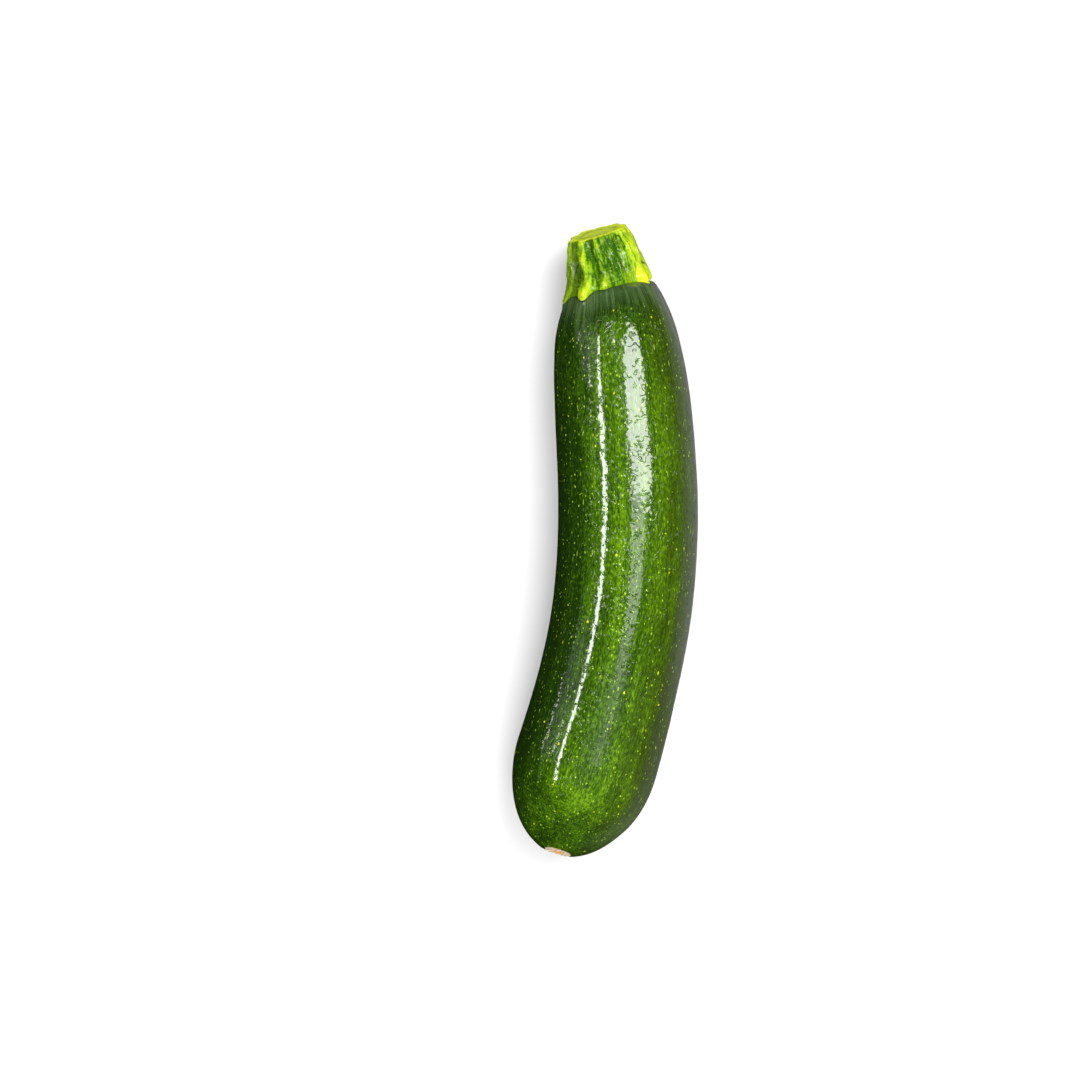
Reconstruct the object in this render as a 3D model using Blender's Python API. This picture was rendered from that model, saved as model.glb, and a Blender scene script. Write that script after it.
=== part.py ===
# Zucchini as picked, lying on its side: the fruit, and the stub of the stem that it was cut with.
# Metres, +Z up, stem end towards +Y. The origin is under the middle of the whole thing's box,
# on the surface that the fruit's small flat spot rests on.
import math

import bmesh
import bpy
import numpy as np

MM = 0.001

# Centre line of fruit and stem: place along Y, then X and Z there, from the blossom scar past the cut end.
CENTRE_LINE = MM * np.array(
    (
        (-99.0, -15.1, 26.8),
        (-88.0, -11.8, 23.7),
        (-72.0, -6.6, 22.3),
        (-50.0, -0.3, 21.75),
        (-25.0, 5.0, 21.5),
        (3.0, 7.3, 21.5),
        (39.0, 5.9, 21.35),
        (60.0, 3.9, 21.6),
        (78.0, 1.9, 22.0),
        (88.0, -0.2, 22.4),
        (100.0, -3.5, 23.0),
    )
)
SCAR_Y = -99.0 * MM
NECK_Y = 77.5 * MM
CUT_Y = 96.5 * MM

# Half thickness of the fruit along Y, before its two ends are rounded.
GIRTH = MM * np.array(
    (
        (-99.0, 22.5),
        (-70.0, 22.4),
        (-45.0, 21.85),
        (-10.0, 21.95),
        (20.0, 21.9),
        (45.0, 21.3),
        (57.0, 20.3),
        (66.0, 18.8),
        (72.0, 17.0),
        (77.5, 14.6),
        (81.0, 12.4),
    )
)
BLOSSOM_ROUND = 30.0 * MM  # length of the half egg that closes the blossom end
TOP_RISE = 2.6 * MM  # height of the flattish top under the stem
TOP_SQUARENESS = 2.6  # 2 is a round top, more is a flatter one with a tighter edge
SCAR_RADIUS = 4.3 * MM
SCAR_DEPTH = 0.7 * MM

# Ribs of the fruit where they meet the stem: angle from straight up towards +X, strength, and half width,
# with both angles in degrees.
RIBS = (
    (-78.0, 0.85, 16.0),
    (-40.0, 1.0, 16.0),
    (-15.5, 0.9, 10.0),
    (19.0, 0.8, 13.0),
    (56.0, 1.0, 17.0),
    (95.0, 0.85, 17.0),
    (131.0, 0.95, 18.0),
    (168.0, 0.6, 15.0),
    (203.0, 1.0, 18.0),
    (243.0, 0.7, 16.0),
)
RIB_TWIST = math.radians(55.0)  # how far each rib winds towards -X in a metre on its way to the blossom end
# Ridges of the stem, given in the same way.
RIDGES = (
    (-77.0, 0.9, 13.0),
    (-37.0, 1.0, 14.0),
    (-9.0, 0.55, 11.0),
    (19.0, 0.35, 11.0),
    (57.0, 1.0, 15.0),
    (95.0, 0.85, 14.0),
    (131.0, 0.95, 15.0),
    (168.0, 0.5, 12.0),
    (203.0, 1.0, 15.0),
    (243.0, 0.65, 13.0),
)
RIDGE_MERGE = 6  # a larger number makes sharper grooves where two ribs or ridges meet
# Height of the ribs as a share of the half thickness, along Y.
RIB_HEIGHT = np.array(
    (
        (-99.0 * MM, 0.0),
        (-92.0 * MM, 0.02),
        (-72.0 * MM, 0.024),
        (-40.0 * MM, 0.02),
        (0.0 * MM, 0.013),
        (45.0 * MM, 0.014),
        (58.0 * MM, 0.024),
        (68.0 * MM, 0.044),
        (81.0 * MM, 0.05),
    )
)
OVALNESS = 0.006  # the section is this share wider across than it is high

# Stem: place along Y, radius at the ridges, and depth of the grooves as a share of that radius.
STEM_SIDE = np.array(
    (
        (74.0 * MM, 15.9 * MM, 0.14),
        (77.0 * MM, 15.2 * MM, 0.15),
        (79.5 * MM, 14.6 * MM, 0.18),
        (82.5 * MM, 14.1 * MM, 0.23),
        (86.0 * MM, 13.4 * MM, 0.27),
        (90.0 * MM, 12.3 * MM, 0.28),
        (94.0 * MM, 10.9 * MM, 0.25),
        (97.2 * MM, 9.8 * MM, 0.21),
        (100.0 * MM, 9.3 * MM, 0.19),
    )
)
SEAT_REACH = 12.6 * MM  # from the stem's middle, along the fruit's top, to the foot between ridges
TOE_REACH = 3.2 * MM  # how much further down the shoulder a strong ridge's toe reaches
TOE_CONTRAST = 2.2  # a larger number shortens the toes of weak ridges more
SEAT_SKEW = 1.6 * MM  # how much further the foot reaches at the -X side than in the middle
TOE_THICKNESS = 0.6 * MM
TOE_ROUND = 0.7 * MM  # how far up the shoulder a toe's rounded end runs
GROOVE_FOOT = 0.6  # thickness of the foot between ridges, as a share of a toe's
FLARE_FADE = 3.5  # a larger number lets the toes' flare fade sooner up the stem's side
SEAT_GAP = 0.3 * MM
SEAT_HOLLOW = 0.3 * MM  # further from the fruit's top by this much inside the foot's edge
RIM_ROUND = 0.5 * MM
CUT_SLANT = 0.18  # the cut face leans back this much, so that it shows from above
CUT_DISH = 0.5 * MM  # the cut face sinks this much towards its middle

# Mesh rows run from end to end, and segments run round.
FRUIT_SEGMENTS = 52
FRUIT_ROWS = 54
STEM_SEGMENTS = 78
STEM_ROWS = 29
SEAT_ROWS = 6
TOE_ROWS = 4
WALL_ROWS = 14
END_CROWDING = 0.62  # 0 spaces the fruit's rows evenly, towards 1 crowds them at its ends
SEAT_CROWDING = 0.5  # 1 spaces the seat's rows evenly, less crowds them at its edge
OUTLINE_STEPS = 400

FRUIT_GREEN = (0.045, 0.135, 0.006, 1.0)
STEM_GREEN = (0.30, 0.47, 0.03, 1.0)


def through(knots, places):
    """Values at the places on the smooth curve through knots, which are rows of (place, value, ...)."""
    at, values = knots[:, 0], knots[:, 1:]
    slopes = np.gradient(values, at, axis=0)
    places = np.clip(places, at[0], at[-1])
    low = np.clip(np.searchsorted(at, places) - 1, 0, len(at) - 2)
    span = (at[low + 1] - at[low])[:, None]
    t = (places[:, None] - at[low][:, None]) / span
    return (
        values[low] * (2 * t**3 - 3 * t**2 + 1)
        + values[low + 1] * (3 * t**2 - 2 * t**3)
        + slopes[low] * span * (t**3 - 2 * t**2 + t)
        + slopes[low + 1] * span * (t**3 - t**2)
    )


def frame_at(y):
    """Centre line points at these places along Y, with the up, side and forward directions there."""
    step = 0.5 * MM
    first, last = CENTRE_LINE[0, 0], CENTRE_LINE[-1, 0]
    centre = np.column_stack((y, through(CENTRE_LINE, y)))[:, [1, 0, 2]]
    ahead = through(CENTRE_LINE, y + step) - through(CENTRE_LINE, y - step)
    reach = np.clip(y + step, first, last) - np.clip(y - step, first, last)
    forward = np.column_stack((ahead[:, 0], reach, ahead[:, 1]))
    forward /= np.linalg.norm(forward, axis=1)[:, None]
    side = np.cross(forward, (0.0, 0.0, 1.0))
    side /= np.linalg.norm(side, axis=1)[:, None]
    up = np.cross(side, forward)
    return centre, up, side, forward


def placed(y, radius, around, push=0.0):
    """Points at a radius and an angle about the centre line, pushed along it."""
    centre, up, side, forward = frame_at(y)
    across = up * np.cos(around)[:, None] + side * np.sin(around)[:, None]
    return centre + across * radius[:, None] + forward * np.reshape(push, (-1, 1))


def swell(around, bumps):
    """Height of the bumps at an angle round, from 0 between them to about 1 on a strong one."""
    total = np.zeros_like(around)
    for angle, strength, half_width in bumps:
        turn = around - math.radians(angle)
        narrowness = 1 / (1 - math.cos(math.radians(half_width)))
        total += (strength * np.exp(narrowness * (np.cos(turn) - 1))) ** RIDGE_MERGE
    return total ** (1 / RIDGE_MERGE)


def rib_shape(y, around):
    """How much the ribs swell the fruit's radius, as a factor."""
    ribs = swell(around + RIB_TWIST * (NECK_Y - y), RIBS)
    return 1 + through(RIB_HEIGHT, y)[:, 0] * (ribs - 0.5)


def fruit_outline():
    """Half outline of the fruit from scar to top as (share of its length, y, radius), at a fine step."""
    turn = np.linspace(0, math.pi / 2, OUTLINE_STEPS)
    blossom_y = SCAR_Y + BLOSSOM_ROUND * (1 - np.cos(turn))
    body_y = np.linspace(SCAR_Y + BLOSSOM_ROUND, NECK_Y, OUTLINE_STEPS)
    power = 2 / TOP_SQUARENESS
    top_y = NECK_Y + TOP_RISE * np.sin(turn) ** power
    y = np.concatenate((blossom_y, body_y[1:], top_y[1:]))
    rounding = np.concatenate((np.sin(turn), np.ones(OUTLINE_STEPS - 1), np.cos(turn[1:]) ** power))
    radius = through(GIRTH, y)[:, 0] * np.clip(rounding, 0, 1)
    length = np.concatenate(([0.0], np.cumsum(np.hypot(np.diff(y), np.diff(radius)))))
    return length / length[-1], y, radius, length[-1]


SHARES, OUTLINE_Y, OUTLINE_RADIUS, OUTLINE_LENGTH = fruit_outline()


def fruit_skin(share, around):
    """Points of the fruit's skin at a share of its outline, from scar to top, and an angle round it."""
    y = np.interp(share, SHARES, OUTLINE_Y)
    radius = np.interp(share, SHARES, OUTLINE_RADIUS)
    shape = rib_shape(y, around) - 0.5 * OVALNESS * np.cos(2 * around)
    scar = SCAR_DEPTH * np.exp(-((radius / SCAR_RADIUS) ** 4)) * (share < 0.5)
    return placed(y, radius * shape, around, scar)


def off_fruit(share, around, gap):
    """Points that stand off the fruit's skin by a gap."""
    nudge = 1e-4
    share = np.clip(share, 0.0, 1 - 5 * nudge)
    along = fruit_skin(share + nudge, around) - fruit_skin(share - nudge, around)
    across = fruit_skin(share, around + nudge) - fruit_skin(share, around - nudge)
    out = np.cross(across, along)
    out /= np.linalg.norm(out, axis=1)[:, None]
    return fruit_skin(share, around) + out * np.reshape(gap, (-1, 1))


def ball(segments, rows):
    """A sphere to shape, with the share of the way from its lower pole and the angle round of each vertex."""
    bm = bmesh.new()
    bmesh.ops.create_uvsphere(bm, u_segments=segments, v_segments=rows, radius=1.0)
    co = np.array([v.co for v in bm.verts])
    share = 1 - np.arccos(np.clip(co[:, 2], -1, 1)) / math.pi
    return bm, share, np.arctan2(co[:, 1], co[:, 0])


def move_vertices(bm, points):
    for vertex, point in zip(bm.verts, points):
        vertex.co = point


def finish(bm, name, colour, roughness, collection):
    """Makes the mesh an object of its own, smooth but for its sharp rims."""
    bmesh.ops.recalc_face_normals(bm, faces=bm.faces)
    mesh = bpy.data.meshes.new(name)
    bm.to_mesh(mesh)
    bm.free()
    mesh.shade_smooth()
    mesh.set_sharp_from_angle(angle=math.radians(50))
    material = bpy.data.materials.new(name)
    material.use_nodes = True
    shader = material.node_tree.nodes["Principled BSDF"]
    shader.inputs["Base Color"].default_value = colour
    shader.inputs["Roughness"].default_value = roughness
    shader.inputs["Metallic"].default_value = 0.0
    mesh.materials.append(material)
    piece = bpy.data.objects.new(name, mesh)
    collection.objects.link(piece)
    return piece


def rest_flat(bm):
    """Cuts the small flat spot that the fruit rests on, at height 0."""
    cut = bmesh.ops.bisect_plane(
        bm,
        geom=bm.verts[:] + bm.edges[:] + bm.faces[:],
        dist=1e-7,
        plane_co=(0, 0, 0),
        plane_no=(0, 0, -1),
        clear_outer=True,
    )
    rim = [e for e in cut["geom_cut"] if isinstance(e, bmesh.types.BMEdge)]
    bmesh.ops.contextual_create(bm, geom=rim)


def build_fruit(collection):
    """The fruit: one egg-ended body with faint ribs, a sunken blossom scar and a flat spot underneath."""
    bm, share, around = ball(FRUIT_SEGMENTS, FRUIT_ROWS)
    crowded = share - END_CROWDING * np.sin(2 * math.pi * share) / (2 * math.pi)
    move_vertices(bm, fruit_skin(crowded, around))
    rest_flat(bm)
    return finish(bm, "fruit", FRUIT_GREEN, 0.3, collection)


def foot_share(around):
    """Where the stem's foot ends on the fruit's outline: lower at each toe, and at the -X side."""
    reach = SEAT_REACH + TOE_REACH * swell(around, RIDGES) ** TOE_CONTRAST - SEAT_SKEW * np.sin(around)
    return 1 - reach / OUTLINE_LENGTH


def free_radius(y, around):
    """Radius of the stem's side at a place along Y, but for the flare of its toes."""
    side = through(STEM_SIDE, y)
    return side[:, 0] * (1 - side[:, 1] * (1 - swell(around, RIDGES)))


def cut_height(radius, around):
    """Place along Y of the slanted cut at a radius and an angle."""
    return CUT_Y - CUT_SLANT * radius * np.cos(around)


def toe(turn, around):
    """Points of the foot's rounded edge, where turn is 0 at the seat and 1 at the foot of the side."""
    share = foot_share(around) + TOE_ROUND * (1 - np.cos(turn * math.pi / 2)) / OUTLINE_LENGTH
    thickness = TOE_THICKNESS * (GROOVE_FOOT + (1 - GROOVE_FOOT) * swell(around, RIDGES))
    return off_fruit(share, around, SEAT_GAP + thickness * np.sin(turn * math.pi / 2))


def stem_side(rise, around):
    """Points up the stem's side, where rise is 0 at the foot and 1 at the rim."""
    foot_y = np.interp(foot_share(around) + TOE_ROUND / OUTLINE_LENGTH, SHARES, OUTLINE_Y)
    rim_y = cut_height(free_radius(np.full_like(around, CUT_Y), around), around)
    y = foot_y + (rim_y - foot_y) * rise
    flare = toe(np.ones_like(around), around) - placed(foot_y, free_radius(foot_y, around), around)
    fade = (1 - rise) * np.exp(-FLARE_FADE * rise)
    return placed(y, free_radius(y, around), around) + flare * fade[:, None]


def stem_cut(inward, around):
    """Points of the cut face, where inward is 0 at its rounded rim and 1 in the middle."""
    rim = free_radius(np.full_like(around, CUT_Y), around)
    radius = (rim - RIM_ROUND) * (1 - inward)
    return placed(cut_height(radius, around), radius, around, RIM_ROUND - CUT_DISH * inward**0.7)


def build_stem(collection):
    """The stem stub: ridged, flared to toes that sit on the fruit's shoulder, and cut across."""
    bm, share, around = ball(STEM_SEGMENTS, STEM_ROWS)
    row = np.rint(share * STEM_ROWS)
    toe_end = SEAT_ROWS + TOE_ROWS
    wall_end = toe_end + WALL_ROWS
    reach = np.clip(row / SEAT_ROWS, 0, 1) ** SEAT_CROWDING
    hollow = SEAT_HOLLOW * np.clip(SEAT_ROWS * (1 - reach), 0, 1)
    seat = off_fruit(1 - (1 - foot_share(around)) * reach, around, SEAT_GAP + hollow)
    edge = toe(np.clip((row - SEAT_ROWS) / TOE_ROWS, 0, 1), around)
    wall = stem_side(np.clip((row - toe_end) / WALL_ROWS, 0, 1), around)
    cut = stem_cut(np.clip((row - wall_end - 1) / (STEM_ROWS - wall_end - 1), 0, 1), around)
    stretch = np.searchsorted((SEAT_ROWS, toe_end, wall_end), row)[:, None]
    move_vertices(bm, np.choose(stretch, (seat, edge, wall, cut)))
    return finish(bm, "stem", STEM_GREEN, 0.55, collection)


def main():
    for old in list(bpy.data.objects):
        bpy.data.objects.remove(old)
    collection = bpy.data.collections.new("zucchini")
    bpy.context.scene.collection.children.link(collection)
    build_fruit(collection)
    build_stem(collection)


main()
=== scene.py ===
import math
import random

import bmesh
import bpy
import numpy as np
from mathutils import Matrix, Vector, noise


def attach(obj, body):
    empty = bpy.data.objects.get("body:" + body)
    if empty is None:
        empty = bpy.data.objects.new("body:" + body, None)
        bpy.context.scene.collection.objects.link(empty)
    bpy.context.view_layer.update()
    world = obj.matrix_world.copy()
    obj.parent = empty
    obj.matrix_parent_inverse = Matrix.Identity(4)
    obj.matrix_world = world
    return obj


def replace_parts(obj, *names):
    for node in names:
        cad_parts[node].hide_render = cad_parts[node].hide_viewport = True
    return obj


bl_info = {
    "name": "Zucchini",
    "version": (1, 0, 0),
    "blender": (4, 5, 0),
    "location": "3D View > Sidebar > Zucchini",
    "description": "Dresses a zucchini with its skin, stem and bristles, and sets it on a pale floor",
    "category": "Add Mesh",
}

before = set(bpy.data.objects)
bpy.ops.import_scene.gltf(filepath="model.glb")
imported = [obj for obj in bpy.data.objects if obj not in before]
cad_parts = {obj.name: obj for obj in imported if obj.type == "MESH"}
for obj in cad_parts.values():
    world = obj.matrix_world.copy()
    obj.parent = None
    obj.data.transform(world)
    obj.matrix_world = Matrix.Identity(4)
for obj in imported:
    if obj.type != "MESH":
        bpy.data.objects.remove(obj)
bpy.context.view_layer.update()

MM = 0.001

# Centre line of fruit and stem: place along Y, then X and Z there, from the blossom scar past the cut end.
CENTRE_LINE = MM * np.array(
    (
        (-99.0, -15.1, 26.8),
        (-88.0, -11.8, 23.7),
        (-72.0, -6.6, 22.3),
        (-50.0, -0.3, 21.75),
        (-25.0, 5.0, 21.5),
        (3.0, 7.3, 21.5),
        (39.0, 5.9, 21.35),
        (60.0, 3.9, 21.6),
        (78.0, 1.9, 22.0),
        (88.0, -0.2, 22.4),
        (100.0, -3.5, 23.0),
    )
)
SCAR_Y = -99.0 * MM
NECK_Y = 77.5 * MM
CUT_Y = 96.5 * MM

# Half thickness of the fruit along Y, before its two ends are rounded.
GIRTH = MM * np.array(
    (
        (-99.0, 22.5),
        (-70.0, 22.4),
        (-45.0, 21.85),
        (-10.0, 21.95),
        (20.0, 21.9),
        (45.0, 21.3),
        (57.0, 20.3),
        (66.0, 18.8),
        (72.0, 17.0),
        (77.5, 14.6),
        (81.0, 12.4),
    )
)
BLOSSOM_ROUND = 30.0 * MM  # length of the half egg that closes the blossom end
TOP_RISE = 2.6 * MM  # height of the flattish top under the stem
TOP_SQUARENESS = 2.6  # 2 is a round top, more is a flatter one with a tighter edge
SCAR_RADIUS = 4.3 * MM
SCAR_DEPTH = 0.7 * MM

# Ribs of the fruit where they meet the stem: angle from straight up towards +X, strength, and half width,
# with both angles in degrees.
RIBS = (
    (-78.0, 0.85, 16.0),
    (-40.0, 1.0, 16.0),
    (-15.5, 0.9, 10.0),
    (19.0, 0.8, 13.0),
    (56.0, 1.0, 17.0),
    (95.0, 0.85, 17.0),
    (131.0, 0.95, 18.0),
    (168.0, 0.6, 15.0),
    (203.0, 1.0, 18.0),
    (243.0, 0.7, 16.0),
)
RIB_TWIST = math.radians(55.0)  # how far each rib winds towards -X in a metre on its way to the blossom end
# Ridges of the stem, given in the same way.
RIDGES = (
    (-77.0, 0.9, 13.0),
    (-37.0, 1.0, 14.0),
    (-9.0, 0.55, 11.0),
    (19.0, 0.35, 11.0),
    (57.0, 1.0, 15.0),
    (95.0, 0.85, 14.0),
    (131.0, 0.95, 15.0),
    (168.0, 0.5, 12.0),
    (203.0, 1.0, 15.0),
    (243.0, 0.65, 13.0),
)
RIDGE_MERGE = 6  # a larger number makes sharper grooves where two ribs or ridges meet
# Height of the ribs as a share of the half thickness, along Y.
RIB_HEIGHT = np.array(
    (
        (-99.0 * MM, 0.0),
        (-92.0 * MM, 0.02),
        (-72.0 * MM, 0.024),
        (-40.0 * MM, 0.02),
        (0.0 * MM, 0.013),
        (45.0 * MM, 0.014),
        (58.0 * MM, 0.024),
        (68.0 * MM, 0.044),
        (81.0 * MM, 0.05),
    )
)
OVALNESS = 0.006  # the section is this share wider across than it is high

# Stem: place along Y, radius at the ridges, and depth of the grooves as a share of that radius.
STEM_SIDE = np.array(
    (
        (74.0 * MM, 15.9 * MM, 0.14),
        (77.0 * MM, 15.2 * MM, 0.15),
        (79.5 * MM, 14.6 * MM, 0.18),
        (82.5 * MM, 14.1 * MM, 0.23),
        (86.0 * MM, 13.4 * MM, 0.27),
        (90.0 * MM, 12.3 * MM, 0.28),
        (94.0 * MM, 10.9 * MM, 0.25),
        (97.2 * MM, 9.8 * MM, 0.21),
        (100.0 * MM, 9.3 * MM, 0.19),
    )
)
SEAT_REACH = 12.6 * MM  # from the stem's middle, along the fruit's top, to the foot between ridges
TOE_REACH = 3.2 * MM  # how much further down the shoulder a strong ridge's toe reaches
TOE_CONTRAST = 2.2  # a larger number shortens the toes of weak ridges more
SEAT_SKEW = 1.6 * MM  # how much further the foot reaches at the -X side than in the middle
TOE_THICKNESS = 0.6 * MM
TOE_ROUND = 0.7 * MM  # how far up the shoulder a toe's rounded end runs
GROOVE_FOOT = 0.6  # thickness of the foot between ridges, as a share of a toe's
FLARE_FADE = 3.5  # a larger number lets the toes' flare fade sooner up the stem's side
SEAT_SINK = 0.15 * MM  # the stem is grown on to the fruit, so its foot sinks into the skin a little
COLLAR_HEIGHT = 0.5 * MM  # the skin swells this much where it meets the stem's foot
COLLAR_WIDTH = 1.4 * MM
RIM_ROUND = 0.5 * MM
CUT_SLANT = 0.18  # the cut face leans back this much, so that it shows from above
CUT_DISH = 0.5 * MM  # the cut face sinks this much towards its middle
STEM_GIRTH = 12.0 * MM  # radius at which the stem's pattern is drawn
NECK_RADIUS = 16.0 * MM  # radius at which the streaks that spread from the stem are drawn
OUTLINE_STEPS = 800  # points on each of the three stretches of the fruit's outline

# Blossom scar, with its corky ring, its nub and its puckers.
RING_HEIGHT = 0.24 * MM
RING_RADIUS = 3.7 * MM
RING_WIDTH = 0.55 * MM
RING_LUMPS = 5
RING_LUMPINESS = 0.3
NUB_HEIGHT = 0.5 * MM
NUB_WIDTH = 0.9 * MM
PUCKERS = 13
PUCKER_HEIGHT = 0.09 * MM
PUCKER_RADIUS = 6.5 * MM
PUCKER_WIDTH = 2.2 * MM
FAR_OFF = 100.0  # mm from the scar that stand for nowhere near it, on the stem's half of the fruit

# Uneven layers: height, size across, and stretch along. The skin's heights are shares of its dents' depth.
SKIN_DENTS = ((1.0, 16.0 * MM, 2.5), (0.4, 4.5 * MM, 1.4))
FIBRES = ((0.2 * MM, 1.0 * MM, 12.0),)
KNOBS = ((0.45 * MM, 2.4 * MM, 1.6), (0.2 * MM, 1.1 * MM, 1.3))
DENTS_FADE = 8.0 * MM  # the skin's dents get shallow this near to the stem
LEAST_DENTS = 0.2  # share of the dents' depth that is left there
TOE_EASE = 0.05  # share of the way up the stem's side in which its relief comes in
RIM_EASE = 0.08  # share in which it goes out again below the rim
SWAY = 0.2  # radians that the stem's ridges sway by
SWAY_SIZE = 7.0 * MM
# Ridges swell above their toes and thin out further up: height in mm, then place and width on the way up.
RIDGE_LOBES = ((0.5, 0.12, 0.12), (-0.3, 0.38, 0.14))
DISH_POWER = 0.7  # less makes the sunken cut face flatter in its middle
STRANDS = 10  # raised strands in a ring on the cut face
STRAND_HEIGHT = 0.12 * MM
STRAND_RING = (0.35, 0.12)  # place and width of their ring on the way inward

BRISTLE_SEED = 7
BRISTLE_RISE = (0.06, 0.93)  # where they stand on the way up the stem's side
BRISTLES_IN_GROOVES = 0.25  # how common they are in the grooves, where 1 is as common as on the ridges
SHORTEST_BRISTLE = 0.5  # as a share of the longest
BRISTLE_LEAN = 0.35
BRISTLE_ROOT_RADIUS = 0.07 * MM
BRISTLE_TIP_RADIUS = 0.01 * MM
BRISTLE_MIDDLE = 0.4  # its middle stands this share of its length off the stem, so its root is sunk in

# Mesh rows run from end to end, and segments run round.
FRUIT_SEGMENTS = 216
FRUIT_ROWS = 400
END_CROWDING = 0.62  # 0 spaces the fruit's rows evenly, towards 1 crowds them at its ends
STEM_SEGMENTS = 330
SEAT_ROWS = 6
TOE_ROWS = 10
WALL_ROWS = 90
RIM_ROWS = 6
CUT_ROWS = 24
SEAT_CROWDING = 0.5  # 1 spaces the seat's rows evenly, less crowds them at its edge

# Streaks along the zucchini: width and length in mm, and seed.
GRAINS = (0.42, 1.5, 11.0)
THIN_STREAKS = (0.5, 4.5, 1.0)
LONG_STREAKS = (1.0, 16.0, 4.0)
BROAD_BANDS = (4.5, 70.0, 7.0)
RAYS = (0.5, 14.0, 3.0)
FINE_LINES = (0.5, 9.0, 0.0)
STEM_FIBRES = (0.45, 5.0, 2.0)
STEM_CORDS = (1.5, 9.0, 5.0)
# Flecks: spacing and radius in mm, stretch along, share of the places that have one, and seed.
SMALL_FLECKS = (1.1, 0.34, 1.4, 0.95, 0.0)
DASHES = (1.4, 0.24, 6.0, 0.5, 30.0)
LARGE_FLECKS = (3.0, 0.42, 1.6, 0.7, 20.0)
WRINKLED_SPOTS = (2.3, 2.1, 1.0, 0.85, 40.0)
STEM_DOTS = (1.2, 0.2, 1.0, 0.6, 9.0)
TEAR_SIZE = 0.6  # mm, of the noise that makes the large flecks ragged
# Winding lines: size in mm, distortion, how far the noise may be from its middle to be full and to be gone,
# and strength.
WRINKLES = (2.0, 0.9, 0.015, 0.085, 1.0)
VEINS = (2.6, 0.5, 0.0, 0.045, 0.9)
VEIN_SQUEEZE = (1.0, 0.25, 1.0)  # lets the veins run along the stem
LIT_SIDE_TURN = math.radians(5.0)  # middle of the painted light, where the skin's green is painted brightest, from straight up towards +X
SKIN_RADIUS = 22.0  # mm

# Lights: range along X and along Y in metres, the look's value that they shine with, a factor on it, shape,
# and whether they show in reflections.
SOFTBOXES = (
    ("key softbox", (0.03, 0.78), (0.06, 0.44), "key", 1.0, "RECTANGLE", True),
    ("key softbox, stem end", (0.10, 0.78), (0.44, 0.62), "key", 1.0, "RECTANGLE", True),
    ("key softbox, blossom end", (0.02, 0.42), (-0.11, 0.06), "key", 0.32, "RECTANGLE", True),
    ("left strip", (-0.98, -0.68), (-0.42, 0.50), "strip", 1.0, "ELLIPSE", True),
    ("left glow", (-2.3, -0.98), (0.20, 0.95), "strip", 0.03, "RECTANGLE", True),
    ("left glow, near", (-1.7, -0.98), (0.20, 0.80), "strip", 0.03, "RECTANGLE", True),
    ("low glow", (-2.9, -1.7), (0.66, 0.92), "strip", 0.5, "ELLIPSE", True),
    ("fill", (-0.5, 1.2), (-0.9, 0.9), "fill", 1.0, "RECTANGLE", False),
    ("blossom fill", (-0.4, 1.0), (-1.9, -0.9), "fill", 5.5, "RECTANGLE", False),
)
LIGHT_HEIGHT = 0.97
MIRROR_IN = (0.0, 0.03)  # range along X over which the floor's reflection comes in
MIRROR_OUT = (0.5, 0.05)  # and the range over which it goes out again, from its far end
VIEW_CENTRE = (-0.0205, -0.0002, 0.022)  # what the camera looks straight down at
FLOOR_DROP = 0.1 * MM  # the floor lies this much below the fruit
ROOM_TONE = 0.95  # how pale the room looks to the camera

# Sockets of the node that mixes two colours.
MIX_SHARE, MIX_FIRST, MIX_SECOND, MIX_RESULT = 0, 6, 7, 2


def through(knots, places):
    """Values at the places on the smooth curve through knots, which are rows of (place, value, ...)."""
    at, values = knots[:, 0], knots[:, 1:]
    slopes = np.gradient(values, at, axis=0)
    places = np.clip(places, at[0], at[-1])
    low = np.clip(np.searchsorted(at, places) - 1, 0, len(at) - 2)
    span = (at[low + 1] - at[low])[:, None]
    t = (places[:, None] - at[low][:, None]) / span
    return (
        values[low] * (2 * t**3 - 3 * t**2 + 1)
        + values[low + 1] * (3 * t**2 - 2 * t**3)
        + slopes[low] * span * (t**3 - 2 * t**2 + t)
        + slopes[low + 1] * span * (t**3 - t**2)
    )


def frame_at(y):
    """Centre line points at these places along Y, with the up, side and forward directions there."""
    step = 0.5 * MM
    first, last = CENTRE_LINE[0, 0], CENTRE_LINE[-1, 0]
    centre = np.column_stack((y, through(CENTRE_LINE, y)))[:, [1, 0, 2]]
    ahead = through(CENTRE_LINE, y + step) - through(CENTRE_LINE, y - step)
    reach = np.clip(y + step, first, last) - np.clip(y - step, first, last)
    forward = np.column_stack((ahead[:, 0], reach, ahead[:, 1]))
    forward /= np.linalg.norm(forward, axis=1)[:, None]
    side = np.cross(forward, (0.0, 0.0, 1.0))
    side /= np.linalg.norm(side, axis=1)[:, None]
    up = np.cross(side, forward)
    return centre, up, side, forward


def placed(y, radius, around, push=0.0):
    """Points at a radius and an angle about the centre line, pushed along it."""
    centre, up, side, forward = frame_at(y)
    across = up * np.cos(around)[:, None] + side * np.sin(around)[:, None]
    return centre + across * radius[:, None] + forward * np.reshape(push, (-1, 1))


def swell(around, bumps):
    """Height of the bumps at an angle round, from 0 between them to about 1 on a strong one."""
    total = np.zeros_like(around)
    for angle, strength, half_width in bumps:
        turn = around - math.radians(angle)
        narrowness = 1 / (1 - math.cos(math.radians(half_width)))
        total += (strength * np.exp(narrowness * (np.cos(turn) - 1))) ** RIDGE_MERGE
    return total ** (1 / RIDGE_MERGE)


def rib_height(y, around):
    """Height of the winding ribs at a place on the fruit, from 0 to about 1."""
    return swell(around + RIB_TWIST * (NECK_Y - y), RIBS)


def rib_shape(y, around):
    """How much the ribs swell the fruit's radius, as a factor."""
    return 1 + through(RIB_HEIGHT, y)[:, 0] * (rib_height(y, around) - 0.5)


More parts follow.
